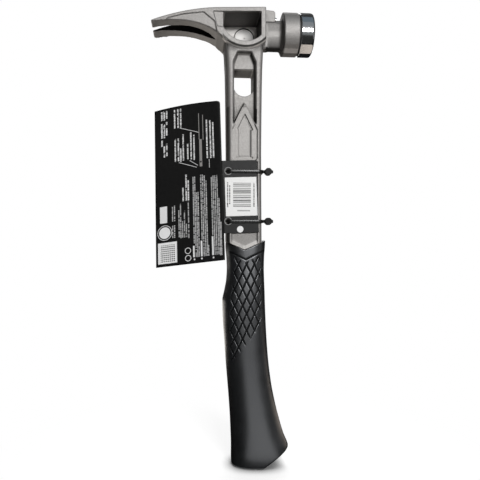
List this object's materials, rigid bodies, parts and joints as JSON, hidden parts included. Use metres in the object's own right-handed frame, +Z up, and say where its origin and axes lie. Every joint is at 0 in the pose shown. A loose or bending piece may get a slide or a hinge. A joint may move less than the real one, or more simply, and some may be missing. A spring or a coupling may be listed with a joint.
{
  "type": "framing hammer",
  "caption": "One-piece cast framing hammer with straight claws, a screw-on steel striking face, a windowed handle, a black rubber grip and a folded card tag held by two ties.",
  "frame": {"origin": "middle of the butt's flat, under the handle's axis", "axes": "+Z up the handle to the head, +X to the striking face, -X to the claws, -Y out of the open side of the head's pocket"},
  "size_m": [0.1597, 0.043, 0.4498],
  "materials": {
    "cast_metal": "blasted, satin",
    "grip_rubber": "moulded, matte",
    "face_steel": "turned and polished",
    "stud_steel": "machined",
    "washer_rubber": "matte",
    "magnet_metal": "plated",
    "tag_card": "printed card",
    "label_paper": "paper",
    "tie_plastic": "moulded nylon"
  },
  "bodies": {
    "hammer": {"head_and_handle": "cast_metal", "grip": "grip_rubber", "nail_magnet": "magnet_metal", "tag_flap": "tag_card", "tag_label": "label_paper", "upper_tie": "tie_plastic", "lower_tie": "tie_plastic"},
    "washer": {"lock_washer": "washer_rubber"},
    "face": {"striking_face": "face_steel", "face_stud": "stud_steel"},
    "tag": {"tag_panel": "tag_card"}
  },
  "joints": [
    {"name": "face_back_off", "type": "slide", "parent": "hammer", "child": "washer", "axis": [1, 0, 0], "range_m": [0, 0.0281]},
    {"name": "face_turn", "type": "hinge", "parent": "washer", "child": "face", "pos_m": [0, 0, 0.4294], "axis": [1, 0, 0], "range_deg": [0, 5760]},
    {"name": "tag_fold", "type": "hinge", "parent": "hammer", "child": "tag", "pos_m": [-0.02138, -0.01795, 0.2642], "axis": [-0.0332, 0, 0.9995], "range_deg": [-70, 100]}
  ],
  "couplings": [
    {"joint": "face_back_off", "follows": "face_turn", "m_per_rad": 0.00027852}
  ]
}
